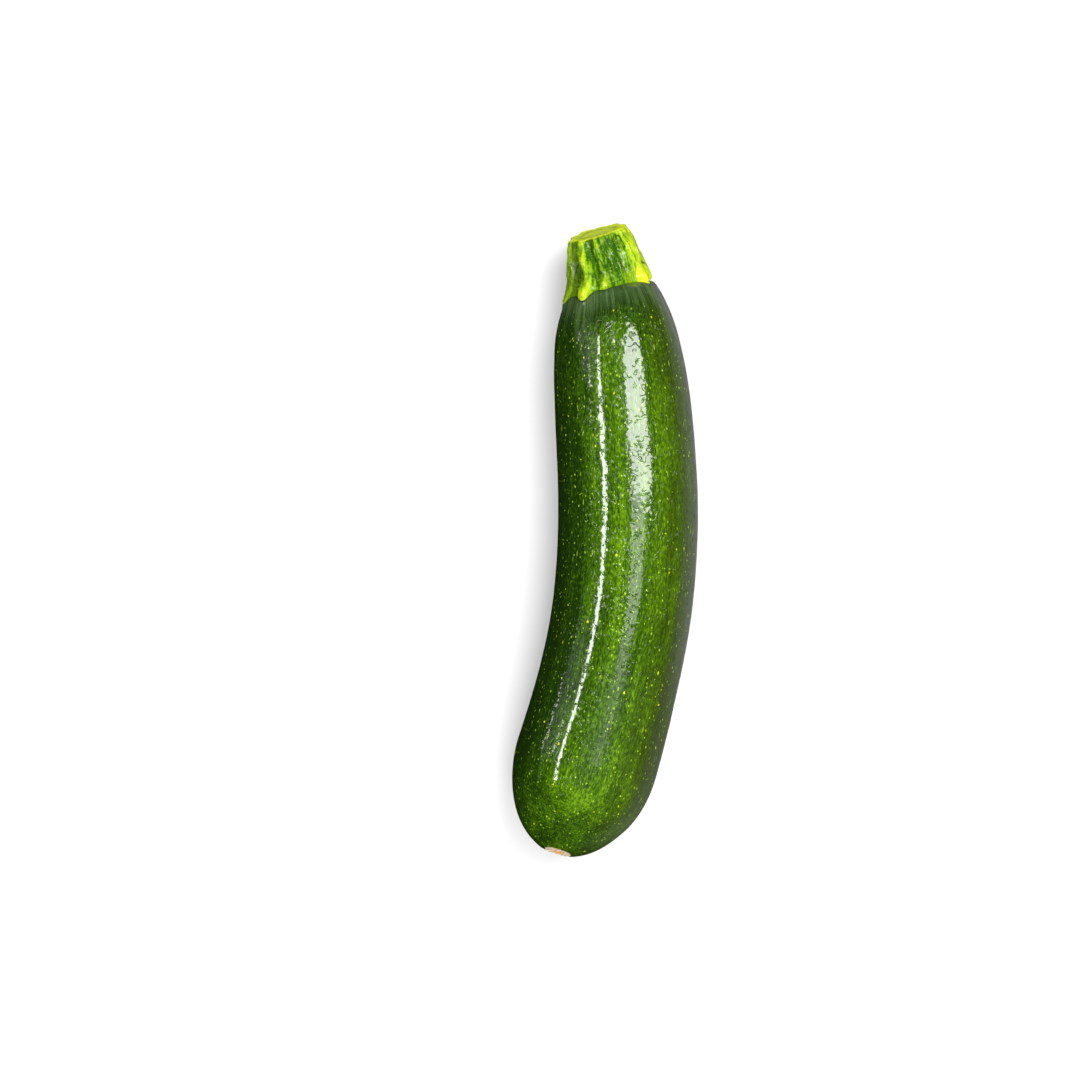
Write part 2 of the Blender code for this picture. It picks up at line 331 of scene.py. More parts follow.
def fruit_outline():
    """Half outline of the fruit from scar to top as (share of its length, y, radius), at a fine step."""
    turn = np.linspace(0, math.pi / 2, OUTLINE_STEPS)
    blossom_y = SCAR_Y + BLOSSOM_ROUND * (1 - np.cos(turn))
    body_y = np.linspace(SCAR_Y + BLOSSOM_ROUND, NECK_Y, OUTLINE_STEPS)
    power = 2 / TOP_SQUARENESS
    top_y = NECK_Y + TOP_RISE * np.sin(turn) ** power
    y = np.concatenate((blossom_y, body_y[1:], top_y[1:]))
    rounding = np.concatenate((np.sin(turn), np.ones(OUTLINE_STEPS - 1), np.cos(turn[1:]) ** power))
    radius = through(GIRTH, y)[:, 0] * np.clip(rounding, 0, 1)
    length = np.concatenate(([0.0], np.cumsum(np.hypot(np.diff(y), np.diff(radius)))))
    return length / length[-1], y, radius, length[-1]


SHARES, OUTLINE_Y, OUTLINE_RADIUS, OUTLINE_LENGTH = fruit_outline()


def bell(value, middle, width):
    """1 at the middle, falling smoothly to nearly 0 at twice the width from it."""
    return np.exp(-(((value - middle) / width) ** 2))


def eased(value, width):
    """0 at 0, rising to 1 at the width and staying there."""
    return np.sin(np.clip(value / width, 0, 1) * math.pi / 2)


def scar_relief(radius, around):
    """How far the blossom scar is pushed into the fruit, with its corky ring, its nub and its puckers."""
    sunk = SCAR_DEPTH * np.exp(-((radius / SCAR_RADIUS) ** 4))
    lumps = 1 + RING_LUMPINESS * np.sin(RING_LUMPS * around)
    ring = RING_HEIGHT * bell(radius, RING_RADIUS, RING_WIDTH) * lumps
    nub = NUB_HEIGHT * bell(radius, 0.0, NUB_WIDTH)
    pucker = PUCKER_HEIGHT * np.cos(PUCKERS * around) * bell(radius, PUCKER_RADIUS, PUCKER_WIDTH)
    return sunk - ring - nub + pucker


def fruit_skin(share, around, relief=0.0):
    """Points of the fruit's skin at a share of its outline, from scar to top, and an angle round it."""
    y = np.interp(share, SHARES, OUTLINE_Y)
    radius = np.interp(share, SHARES, OUTLINE_RADIUS)
    shape = rib_shape(y, around) - 0.5 * OVALNESS * np.cos(2 * around)
    return placed(y, radius * shape + relief, around, scar_relief(radius, around) * (share < 0.5))


def off_fruit(share, around, gap):
    """Points that stand off the fruit's skin by a gap."""
    nudge = 1e-4
    share = np.clip(share, 0.0, 1 - 5 * nudge)
    along = fruit_skin(share + nudge, around) - fruit_skin(share - nudge, around)
    across = fruit_skin(share, around + nudge) - fruit_skin(share, around - nudge)
    out = np.cross(across, along)
    out /= np.linalg.norm(out, axis=1)[:, None]
    return fruit_skin(share, around) + out * np.reshape(gap, (-1, 1))


def foot_share(around):
    """Where the stem's foot ends on the fruit's outline: lower at each toe, and at the -X side."""
    reach = SEAT_REACH + TOE_REACH * swell(around, RIDGES) ** TOE_CONTRAST - SEAT_SKEW * np.sin(around)
    return 1 - reach / OUTLINE_LENGTH


def free_radius(y, around):
    """Radius of the stem's side at a place along Y, but for the flare of its toes."""
    side = through(STEM_SIDE, y)
    return side[:, 0] * (1 - side[:, 1] * (1 - swell(around, RIDGES)))


def cut_height(radius, around):
    """Place along Y of the slanted cut at a radius and an angle."""
    return CUT_Y - CUT_SLANT * radius * np.cos(around)


def toe(turn, around):
    """Points of the foot's rounded edge, where turn is 0 at the seat and 1 at the foot of the side."""
    share = foot_share(around) + TOE_ROUND * (1 - np.cos(turn * math.pi / 2)) / OUTLINE_LENGTH
    thickness = TOE_THICKNESS * (GROOVE_FOOT + (1 - GROOVE_FOOT) * swell(around, RIDGES))
    return off_fruit(share, around, (thickness + 2 * SEAT_SINK) * np.sin(turn * math.pi / 2) - SEAT_SINK)


def wander(points, size, stretch=1.0):
    """Smooth noise at the points, from about -1 to 1, with bumps of a size, stretched along Y."""
    scale = np.array((1.0, 1.0 / stretch, 1.0)) / size
    return np.array([noise.noise(Vector(point)) for point in points * scale])


def uneven(points, layers):
    """Sum of smooth noise for layers of a height, a size and a stretch."""
    return sum(height * wander(points, size, stretch) for height, size, stretch in layers)


def straightened(y, radius, around):
    """Where points would be if the zucchini were straight: the patterns are drawn there."""
    return np.column_stack((radius * np.sin(around), y, radius * np.cos(around)))


def stem_pattern(rise, around):
    """Where the stem's side would be if it were a straight tube."""
    foot_y = np.interp(foot_share(around), SHARES, OUTLINE_Y)
    return straightened(foot_y + (CUT_Y - foot_y) * rise, STEM_GIRTH, around)


def stem_relief(rise, around):
    """Height of the knobs and fibres on the stem's side."""
    pattern = stem_pattern(rise, around)
    ease = eased(rise, TOE_EASE) * eased(1 - rise, RIM_EASE)
    return (uneven(pattern, FIBRES) + uneven(pattern, KNOBS)) * ease


def swayed(rise, around):
    """The angle whose ridge stands at an angle round the stem's side, as the ridges sway on their way up."""
    sway = SWAY * np.sin(np.clip(rise, 0, 1) * math.pi)
    return around + sway * wander(stem_pattern(rise, around), SWAY_SIZE)


def stem_side(rise, around):
    """Points up the stem's side, where rise is 0 at the foot and 1 at the rim, with its relief."""
    foot_y = np.interp(foot_share(around) + TOE_ROUND / OUTLINE_LENGTH, SHARES, OUTLINE_Y)
    rim_y = cut_height(free_radius(np.full_like(around, CUT_Y), around), around)
    y = foot_y + (rim_y - foot_y) * rise
    lobes = sum(height * bell(rise, middle, width) for height, middle, width in RIDGE_LOBES)
    lobes = lobes * MM * swell(around, RIDGES) ** 2
    radius = free_radius(y, swayed(rise, around)) + stem_relief(rise, around) + lobes
    flare = toe(np.ones_like(around), around) - placed(foot_y, free_radius(foot_y, around), around)
    fade = (1 - rise) * np.exp(-FLARE_FADE * rise)
    return placed(y, radius, around) + flare * fade[:, None]


def stem_rim(turn, around):
    """Points of the cut's rounded rim, where turn is 0 at the side and 1 at the face."""
    rim = free_radius(np.full_like(around, CUT_Y), around)
    radius = rim - RIM_ROUND * (1 - np.cos(turn * math.pi / 2))
    return placed(cut_height(radius, around), radius, around, RIM_ROUND * np.sin(turn * math.pi / 2))


def stem_cut(inward, around):
    """Points of the cut face, where inward is 0 at its rounded rim and 1 in the middle."""
    rim = free_radius(np.full_like(around, CUT_Y), around)
    radius = (rim - RIM_ROUND) * (1 - inward)
    strands = STRAND_HEIGHT * np.cos(STRANDS * around) * bell(inward, *STRAND_RING)
    push = RIM_ROUND - CUT_DISH * inward**DISH_POWER + strands
    return placed(cut_height(radius, around), radius, around, push)


def ball(segments, rows):
    """A sphere to shape, with the share of the way from its lower pole and the angle round of each vertex."""
    bm = bmesh.new()
    bmesh.ops.create_uvsphere(bm, u_segments=segments, v_segments=rows, radius=1.0)
    co = np.array([v.co for v in bm.verts])
    share = 1 - np.arccos(np.clip(co[:, 2], -1, 1)) / math.pi
    return bm, share, np.arctan2(co[:, 1], co[:, 0])


def move_vertices(bm, points):
    for vertex, point in zip(bm.verts, points):
        vertex.co = point


def add_piece(bm, name, material, slot, **marks):
    """Makes the mesh an object that rides on the zucchini, and keeps marks on it for its material."""
    bmesh.ops.recalc_face_normals(bm, faces=bm.faces)
    mesh = bpy.data.meshes.new(name)
    bm.to_mesh(mesh)
    bm.free()
    mesh.shade_smooth()
    for mark, values in marks.items():
        kind, field = ("FLOAT", "value") if values.ndim == 1 else ("FLOAT_VECTOR", "vector")
        store = mesh.attributes.new(mark, kind, "POINT")
        store.data.foreach_set(field, np.ascontiguousarray(values, np.float32).ravel())
    mesh.materials.append(material)
    piece = bpy.data.objects.new(name, mesh)
    bpy.context.scene.collection.objects.link(piece)
    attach(piece, "root")
    return piece


def make_fruit(material, dents):
    """The fruit's skin, fine enough for its dents and puckers."""
    bm, share, around = ball(FRUIT_SEGMENTS, FRUIT_ROWS)
    share = share - END_CROWDING * np.sin(2 * math.pi * share) / (2 * math.pi)
    y = np.interp(share, SHARES, OUTLINE_Y)
    radius = np.interp(share, SHARES, OUTLINE_RADIUS)
    straight = straightened(y, radius, around)
    relief = dents * uneven(straight, SKIN_DENTS)
    to_foot = (foot_share(around) - share) * OUTLINE_LENGTH
    at_foot = np.clip(to_foot / DENTS_FADE, LEAST_DENTS, 1)
    at_scar = eased(radius, 3 * SCAR_RADIUS)
    points = fruit_skin(share, around, relief * at_foot * at_scar)
    near = np.abs(to_foot) < 3 * COLLAR_WIDTH
    width = np.where(to_foot[near] > 0, COLLAR_WIDTH, COLLAR_WIDTH / 4)
    collar = COLLAR_HEIGHT * bell(to_foot[near], 0.0, width)
    points[near] += off_fruit(share[near], around[near], collar) - fruit_skin(share[near], around[near])
    points[:, 2] = np.maximum(points[:, 2], 0.0)
    move_vertices(bm, points)
    marks = {
        "straight": straight,
        "rib": rib_height(y, around),
        "scar": radius / MM + FAR_OFF * (share > 0.5),
        "to_foot": to_foot / MM,
        "spokes": straightened(to_foot, NECK_RADIUS, around) / MM,
    }
    return add_piece(bm, "zucchini_skin", material, "skin", **marks)


def make_stem(material):
    """The stem stub with its ridges, fibres, toes and cut face."""
    rows = SEAT_ROWS + TOE_ROWS + WALL_ROWS + RIM_ROWS + CUT_ROWS
    bm, share, around = ball(STEM_SEGMENTS, rows)
    row = np.rint(share * rows)
    ends = np.cumsum((SEAT_ROWS, TOE_ROWS, WALL_ROWS, RIM_ROWS))
    reach = np.clip(row / SEAT_ROWS, 0, 1) ** SEAT_CROWDING
    seat = off_fruit(1 - (1 - foot_share(around)) * reach, around, -SEAT_SINK)
    edge = toe(np.clip((row - ends[0]) / TOE_ROWS, 0, 1), around)
    rise = np.clip((row - ends[1]) / WALL_ROWS, 0, 1)
    wall = stem_side(rise, around)
    onto_face = np.clip((row - ends[2]) / RIM_ROWS, 0, 1)
    rim = stem_rim(onto_face, around)
    inward = np.clip((row - ends[3]) / CUT_ROWS, 0, 1)
    cut = stem_cut(inward, around)
    stretch = np.searchsorted(ends, row)[:, None]
    move_vertices(bm, np.choose(stretch, (seat, edge, wall, rim, cut)))
    straight = stem_pattern(rise, around) * np.column_stack((1 - inward, np.ones_like(inward), 1 - inward))
    marks = {
        "straight": straight,
        "ridge": swell(swayed(rise, around), RIDGES),
        "raised": stem_relief(rise, around) / MM,
        "rise": rise,
        "cut": onto_face,
    }
    return add_piece(bm, "stem_stub", material, "stem", **marks)


def make_bristles(material, count, length):
    """Short stiff hairs, mostly on the ridges of the stem."""
    draw = random.Random(BRISTLE_SEED)
    nudge = 0.01
    bm = bmesh.new()
    while count:
        around = np.array([draw.uniform(-math.pi, math.pi)])
        rise = np.array([draw.uniform(*BRISTLE_RISE)])
        if draw.random() > BRISTLES_IN_GROOVES + (1 - BRISTLES_IN_GROOVES) * swell(around, RIDGES)[0]:
            continue
        count -= 1
        root, above, beside = (
            Vector(stem_side(rise + up, around + turn)[0]) for up, turn in ((0, 0), (nudge, 0), (0, nudge))
        )
        along = (above - root).normalized()
        out = (beside - root).cross(along).normalized()
        long = length * draw.uniform(SHORTEST_BRISTLE, 1.0)
        lean = draw.uniform(-BRISTLE_LEAN, BRISTLE_LEAN)
        way = (out + along * lean).to_track_quat("Z", "Y").to_matrix().to_4x4()
        bmesh.ops.create_cone(
            bm,
            cap_ends=True,
            segments=4,
            radius1=BRISTLE_ROOT_RADIUS,
            radius2=BRISTLE_TIP_RADIUS,
            depth=long,
            matrix=Matrix.Translation(root + out * long * BRISTLE_MIDDLE) @ way,
        )
    return add_piece(bm, "bristles", material, "stem")


def add_node(tree, kind, sockets=(), **settings):
    """A node with its settings, and with its sockets linked to outputs or set to plain values."""
    node = tree.nodes.new(kind)
    for name, value in settings.items():
        setattr(node, name, value)
    for name, value in dict(sockets).items():
        if isinstance(value, bpy.types.NodeSocket):
            tree.links.new(value, node.inputs[name])
        else:
            node.inputs[name].default_value = value
    return node


def calculate(tree, operation, *values):
    return add_node(tree, "ShaderNodeMath", enumerate(values), operation=operation).outputs[0]


def chained(tree, operation, values):
    """The values joined by an operation, from the first to the last."""
    result = values[0]
    for value in values[1:]:
        result = calculate(tree, operation, result, value)
    return result


def total(tree, *values):
    return chained(tree, "ADD", values)


def product(tree, *values):
    return chained(tree, "MULTIPLY", values)


def largest(tree, *values):
    return chained(tree, "MAXIMUM", values)


def weighted(tree, value, weight, middle=0.5):
    """How far a value is from the middle of its range, times a weight."""
    return product(tree, calculate(tree, "SUBTRACT", value, middle), weight)


def spread(tree, value, low, high, to_low=0.0, to_high=1.0):
    """Turns the range from low to high into to_low to to_high, smoothly and without overshoot."""
    sockets = {"Value": value, "From Min": low, "From Max": high, "To Min": to_low, "To Max": to_high}
    node = add_node(tree, "ShaderNodeMapRange", sockets, interpolation_type="SMOOTHSTEP")
    return node.outputs["Result"]


def blend(tree, share, first, second):
    """The first colour where the share is 0 and the second where it is 1."""
    sockets = {MIX_SHARE: share, MIX_FIRST: first, MIX_SECOND: second}
    return add_node(tree, "ShaderNodeMix", sockets, data_type="RGBA").outputs[MIX_RESULT]


def vector_of(tree, operation, *values):
    return add_node(tree, "ShaderNodeVectorMath", enumerate(values), operation=operation).outputs[0]


def clouds(tree, place, size, detail=2.0, distortion=0.0):
    """Soft noise from 0 to 1, with patches of a size in mm."""
    sockets = {"Vector": place, "Scale": 1 / size, "Detail": detail, "Distortion": distortion}
    return add_node(tree, "ShaderNodeTexNoise", sockets).outputs["Fac"]


def mark(tree, name, output="Fac"):
    """What the mesh keeps on its vertices under a name."""
    return add_node(tree, "ShaderNodeAttribute", attribute_name=name).outputs[output]


def in_mm(tree, place):
    sockets = {0: place, "Scale": 1 / MM}
    return add_node(tree, "ShaderNodeVectorMath", sockets, operation="SCALE").outputs[0]


def place_in_mm(tree):
    """The place on the straightened zucchini, in mm, with its three parts."""
    place = in_mm(tree, mark(tree, "straight", "Vector"))
    parts = add_node(tree, "ShaderNodeSeparateXYZ", {0: place}).outputs
    return place, parts[0], parts[1], parts[2]


def new_group(name, inputs, outputs):
    """An empty node group, with its inner ends."""
    tree = bpy.data.node_groups.new(name, "ShaderNodeTree")
    for socket, value in inputs.items():
        kind = "NodeSocketVector" if value is None else "NodeSocketFloat"
        made = tree.interface.new_socket(name=socket, in_out="INPUT", socket_type=kind)
        if value is not None:
            made.default_value = value
    for socket in outputs:
        tree.interface.new_socket(name=socket, in_out="OUTPUT", socket_type="NodeSocketFloat")
    return tree, add_node(tree, "NodeGroupInput").outputs, add_node(tree, "NodeGroupOutput").inputs


def in_cells(tree, given, width, length):
    """The place counted in cells of a width and a length, and moved on by the seed."""
    size = add_node(tree, "ShaderNodeCombineXYZ", {0: width, 1: length, 2: width}).outputs[0]
    return vector_of(tree, "ADD", vector_of(tree, "DIVIDE", given["Place"], size), given["Seed"])


def streaks_group():
    """Makes the group for streaks of a width and a length in mm that run along the zucchini."""
    tree, given, result = new_group(
        "lengthwise streaks", {"Place": None, "Width": 1.0, "Length": 15.0, "Seed": 0.0}, ("Streaks",)
    )
    place = in_cells(tree, given, given["Width"], given["Length"])
    noise_node = add_node(tree, "ShaderNodeTexNoise", {"Vector": place, "Scale": 1.0, "Detail": 3.0})
    tree.links.new(noise_node.outputs["Fac"], result["Streaks"])


def flecks_group():
    """Makes the group for scattered flecks with soft edges, round or long, each with a value of its own."""
    tree, given, result = new_group(
        "flecks",
        {"Place": None, "Spacing": 1.5, "Radius": 0.25, "Stretch": 1.0, "Share": 1.0, "Seed": 0.0},
        ("Flecks", "Own value"),
    )
    long = product(tree, given["Spacing"], given["Stretch"])
    place = in_cells(tree, given, given["Spacing"], long)
    cells = add_node(tree, "ShaderNodeTexVoronoi", {"Vector": place, "Scale": 1.0}, feature="F1")
    own = add_node(tree, "ShaderNodeSeparateColor", {0: cells.outputs["Color"]}).outputs
    away = product(tree, cells.outputs["Distance"], given["Spacing"])
    radius = product(tree, given["Radius"], spread(tree, own[0], 0.0, 1.0, 0.45, 1.0))
    dot = spread(tree, calculate(tree, "DIVIDE", away, radius), 0.5, 1.0, 1.0, 0.0)
    there = calculate(tree, "LESS_THAN", own[1], given["Share"])
    tree.links.new(product(tree, dot, there), result["Flecks"])
    tree.links.new(own[2], result["Own value"])


def place_group(tree, group, **values):
    """Puts a node group in a material with its own values."""
    return add_node(tree, "ShaderNodeGroup", values, node_tree=bpy.data.node_groups[group]).outputs


def streaks(tree, place, width, length, seed):
    """Streaks along the zucchini, from 0 to 1."""
    return place_group(tree, "lengthwise streaks", Place=place, Width=width, Length=length, Seed=seed)[0]


def flecks(tree, place, spacing, radius, stretch, share, seed):
    """Flecks, from 0 beside them to 1 in their middle, and each one's own value."""
    values = {"Spacing": spacing, "Radius": radius, "Stretch": stretch, "Share": share, "Seed": seed}
    return place_group(tree, "flecks", Place=place, **values)


def new_material(name, constants):
    """A material with a Principled shader whose constant sockets are set, and its tree."""
    material = bpy.data.materials.new(name)
    material.use_nodes = True
    tree = material.node_tree
    shader = tree.nodes["Principled BSDF"]
    for socket, value in constants.items():
        shader.inputs[socket].default_value = value
    return material, tree, shader


def ramp_of(tree, value, *stops):
    """Colour of a value on a ramp of (place, colour) stops."""
    node = add_node(tree, "ShaderNodeValToRGB", {"Fac": value})
    elements = node.color_ramp.elements
    elements[0].position, elements[0].color = stops[0]
    elements[1].position, elements[1].color = stops[-1]
    for place, colour in stops[1:-1]:
        elements.new(place).color = colour
    return node.outputs["Color"]


def winding_lines(tree, place, size, distortion, full, gone, strength):
    """Thin winding lines: full where soft noise is near the middle of its range, gone further off."""
    winding = weighted(tree, clouds(tree, place, size, 0.0, distortion), 1.0)
    return spread(tree, calculate(tree, "ABSOLUTE", winding), full, gone, strength, 0.0)


def link_bump(tree, height, shader):
    """Bends the normals of the shader and of its coat as a surface with heights in mm does."""
    sockets = {"Strength": 1.0, "Distance": MM, "Height": height}
    normals = add_node(tree, "ShaderNodeBump", sockets).outputs["Normal"]
    tree.links.new(normals, shader.inputs["Normal"])
    tree.links.new(normals, shader.inputs["Coat Normal"])


def skin_material(look):
    """Waxy deep green skin: mottle, lengthwise streaks, flecks, a bluish shoulder and a corky scar."""
    constants = {"Specular IOR Level": 0.2, "Coat Roughness": 0.04}
    material, tree, shader = new_material("waxy green skin", constants)
    place, x, y, z = place_in_mm(tree)
    to_foot, rib, from_scar = mark(tree, "to_foot"), mark(tree, "rib"), mark(tree, "scar")
    shoulder = spread(tree, to_foot, 2.0, 9.0, 1.0, 0.0)
    mottle = clouds(tree, place, size=1.1)
    patches = clouds(tree, place, size=9.0)
    # Painted light: the green is painted brighter where the skin faces the lamps, most on the top and towards
    # +X, and darker away from them.
    towards_light = total(
        tree,
        product(tree, x, math.sin(LIT_SIDE_TURN) / SKIN_RADIUS),
        product(tree, z, math.cos(LIT_SIDE_TURN) / SKIN_RADIUS),
    )
    painted_lit_side = spread(tree, towards_light, 0.6, 1.0, -0.16, 0.26)
    bright_end = spread(tree, y, -90.0, -68.0, 0.24, 0.0)
    dark_half = spread(tree, y, -60.0, -10.0, -0.08, 0.0)
    # Painted shade: the -X flank is painted darker.
    painted_shade_flank = spread(tree, x, -21.0, -10.0, -0.08, 0.0)
    dark_neck = spread(tree, to_foot, 5.0, 15.0, -0.22, 0.0)
    tone = total(
        tree,
        0.3,
        weighted(tree, streaks(tree, place, *GRAINS), 1.5),
        weighted(tree, streaks(tree, place, *THIN_STREAKS), 0.4),
        weighted(tree, streaks(tree, place, *LONG_STREAKS), 0.35),
        weighted(tree, streaks(tree, place, *BROAD_BANDS), 0.9),
        weighted(tree, mottle, 0.6),
        weighted(tree, patches, 0.4),
        painted_lit_side,
        bright_end,
        dark_half,
        painted_shade_flank,
        dark_neck,
    )
    colour = ramp_of(tree, tone, (0.06, look.dark), (0.5, look.middle), (0.95, look.bright))
    # Painted reflection: a duller, greyer haze of reflected light on the +X side.
    colour = blend(tree, spread(tree, x, 4.0, 20.0, 0.0, 0.3), colour, look.painted_haze)

    colour = blend(tree, product(tree, shoulder, 0.65), colour, look.shoulder)
    rays = streaks(tree, mark(tree, "spokes", "Vector"), *RAYS)
    # Painted highlight: pale lines along the rib crests near the stem. The pale streaks that spread from the
    # stem are the skin's own.
    painted_crest_highlight = product(tree, spread(tree, rib, 0.95, 0.998), spread(tree, to_foot, 3.0, 20.0, 0.3, 0.0))
    pale = product(tree, spread(tree, rays, 0.42, 0.72), spread(tree, to_foot, 1.0, 15.0, 0.5, 0.0))
    colour = blend(tree, largest(tree, pale, painted_crest_highlight), colour, look.pale)
    # Painted shade: a thin dark line in the crease where the stem's foot meets the skin.
    colour = blend(tree, spread(tree, to_foot, 0.1, 0.9, 0.85, 0.0), colour, look.dark)

    small, small_own = flecks(tree, place, *SMALL_FLECKS)
    dashes = flecks(tree, place, *DASHES)[0]
    torn = add_node(tree, "ShaderNodeTexNoise", {"Vector": place, "Scale": 1 / TEAR_SIZE}).outputs["Color"]
    large = flecks(tree, vector_of(tree, "ADD", place, torn), *LARGE_FLECKS)[0]
    flank = spread(tree, calculate(tree, "ABSOLUTE", x), 6.0, 14.0, 0.2, 0.6)
    bare = spread(tree, to_foot, 1.0, 12.0)
    dots = product(tree, small, calculate(tree, "POWER", small_own, 1.7))
    dots = largest(tree, dots, product(tree, dashes, flank))
    colour = blend(tree, product(tree, dots, bare), colour, look.fleck)
    colour = blend(tree, product(tree, large, bare), colour, look.yellow_fleck)

    grain = clouds(tree, place, 0.7, 3.0)
    scar = spread(tree, total(tree, from_scar, weighted(tree, grain, 1.2)), 3.9, 4.5, 1.0, 0.0)
    corky = blend(tree, spread(tree, grain, 0.35, 0.6), look.scar_dark, look.scar)
    heart = spread(tree, total(tree, from_scar, weighted(tree, grain, 1.5)), 0.9, 1.5, 1.0, 0.0)
    colour = blend(tree, scar, colour, blend(tree, heart, corky, look.scar_heart))
    tree.links.new(colour, shader.inputs["Base Color"])

    # Short curved wrinkles, away from the stem.
    here = product(tree, flecks(tree, place, *WRINKLED_SPOTS)[0], spread(tree, to_foot, 8.0, 16.0))
    wrinkle = product(tree, winding_lines(tree, place, *WRINKLES), here)

    # The wax is thin from the top over to the +X side towards the blossom end, where it is rubbed. It is
    # broken in the wrinkles and gone on the scar.
    rubbed = product(tree, spread(tree, y, -25.0, -52.0), spread(tree, x, -6.0, -1.0, 0.0, 0.85))
    bare_of_wax = largest(tree, rubbed, largest(tree, product(tree, wrinkle, 0.9), scar))
    waxed = calculate(tree, "SUBTRACT", 1.0, bare_of_wax)
    tree.links.new(product(tree, waxed, look.wax), shader.inputs["Coat Weight"])
    rough = total(
        tree,
        look.roughness,
        weighted(tree, mottle, 0.08),
        weighted(tree, patches, 0.06),
        product(tree, rubbed, 0.2),
        product(tree, shoulder, 0.22),
        product(tree, scar, 0.5),
    )
    tree.links.new(rough, shader.inputs["Roughness"])

    # Heights in mm: two sizes of dimples, fine peel, the wrinkles, lengthwise lines, the flecks and the cork.
    height = total(
        tree,
        weighted(tree, clouds(tree, place, size=2.6, detail=1.0), 0.075),
        weighted(tree, clouds(tree, place, size=1.3, detail=0.0), 0.015),
        weighted(tree, clouds(tree, place, size=0.6, detail=0.0), 0.004),
        product(tree, wrinkle, -0.07),
        weighted(tree, streaks(tree, place, *FINE_LINES), 0.005),
        product(tree, largest(tree, small, large), 0.004),
        product(tree, grain, scar, 0.25),
    )
    link_bump(tree, height, shader)
    return material


def stem_material(look):
    """Ribbed stem: dark green grooves, yellow-green ridges and toes, fibres, and a pale cut face."""
    constants = {"Specular IOR Level": 0.05, "Coat Roughness": 0.08}
    material, tree, shader = new_material("fibrous green stem", constants)
    place, x, _, z = place_in_mm(tree)
    ridge, raised = mark(tree, "ridge"), mark(tree, "raised")
    rise, cut = mark(tree, "rise"), mark(tree, "cut")
    fibres = streaks(tree, place, *STEM_FIBRES)
    patches = clouds(tree, place, size=3.0)
    speckle = clouds(tree, place, size=0.7)
    bright_toes = spread(tree, rise, 0.05, 0.45, 0.2, 0.0)
    bright_rim = spread(tree, total(tree, rise, weighted(tree, patches, 0.8)), 0.9, 0.97, 0.0, 0.2)
    # Painted shade and light: the stem is painted darker on its -X side and lighter on its +X side.
    painted_shade_side = spread(tree, x, -12.0, -5.0, -0.14, 0.0)
    painted_lit_side = spread(tree, x, 5.0, 9.0, 0.0, 0.22)
    tone = total(
        tree,
        0.08,
        product(tree, spread(tree, ridge, 0.25, 0.95), 0.42),
        product(tree, raised, 0.45),
        weighted(tree, fibres, 1.2),
        weighted(tree, streaks(tree, place, *STEM_CORDS), 0.4),
        weighted(tree, patches, 0.3),
        weighted(tree, speckle, 0.7),
        bright_toes,
        bright_rim,
        painted_shade_side,
        painted_lit_side,
    )
    colour = ramp_of(tree, tone, (0.05, look.groove), (0.42, look.side), (0.98, look.ridge))
    colour = blend(tree, spread(tree, x, -12.0, -7.0, 0.3, 0.0), colour, look.shaded)
    vein = winding_lines(tree, vector_of(tree, "MULTIPLY", place, VEIN_SQUEEZE), *VEINS)
    vein = product(tree, vein, spread(tree, rise, 0.1, 0.3), spread(tree, ridge, 0.6, 0.95, 1.0, 0.25))
    colour = blend(tree, vein, colour, look.vein)
    dots = flecks(tree, place, *STEM_DOTS)[0]
    colour = blend(tree, product(tree, dots, 0.6), colour, look.dot)

    # The cut face has a pale pith, a broken ring of darker strands, and a bright rim.
    from_middle = calculate(tree, "SQRT", total(tree, product(tree, x, x), product(tree, z, z)))
    pores = clouds(tree, place, size=0.7)
    blotches = clouds(tree, place, size=2.2, detail=1.0)
    rim = spread(tree, total(tree, from_middle, weighted(tree, blotches, 6.0)), 9.0, 11.0)
    flesh = blend(tree, rim, look.pith, look.rind)
    strands = product(
        tree,
        spread(tree, from_middle, 6.0, 7.8),
        spread(tree, from_middle, 10.2, 8.2),
        spread(tree, pores, 0.4, 0.6, 0.1, 0.9),
    )
    flesh = blend(tree, strands, flesh, look.side)
    flesh = blend(tree, spread(tree, pores, 0.5, 0.7, 0.0, 0.55), flesh, look.side)
    colour = blend(tree, cut, colour, flesh)
    tree.links.new(colour, shader.inputs["Base Color"])

    tree.links.new(spread(tree, raised, 0.0, 0.18, 0.03, 0.9), shader.inputs["Coat Weight"])
    rough = total(tree, 0.42, weighted(tree, fibres, 0.3), product(tree, cut, 0.2))
    tree.links.new(rough, shader.inputs["Roughness"])
    height = total(
        tree,
        product(tree, weighted(tree, fibres, 0.18), calculate(tree, "SUBTRACT", 1.0, cut)),
        weighted(tree, speckle, 0.09),
        product(tree, weighted(tree, pores, 0.25), cut),
        product(tree, dots, 0.03),
        product(tree, vein, -0.12),
    )
    link_bump(tree, height, shader)
    return material


def bristle_material(look):
    """Pale bristles, greener here and there."""
    material, tree, shader = new_material("pale bristles", {"Specular IOR Level": 0.3})
    place = in_mm(tree, add_node(tree, "ShaderNodeTexCoord").outputs["Object"])
    patches = clouds(tree, place, size=1.5)
    tree.links.new(blend(tree, patches, look.side, look.dot), shader.inputs["Base Color"])
    tree.links.new(spread(tree, patches, 0.3, 0.7, 0.35, 0.55), shader.inputs["Roughness"])
    return material


def grey(value):
    return (value, value, value, 1.0)


def by_ray(tree, seen, glossy, other):
    """A colour that differs for what the camera sees, for reflections and for the light thrown back."""
    rays = add_node(tree, "ShaderNodeLightPath").outputs
    return blend(tree, rays["Is Camera Ray"], blend(tree, rays["Is Glossy Ray"], other, glossy), seen)


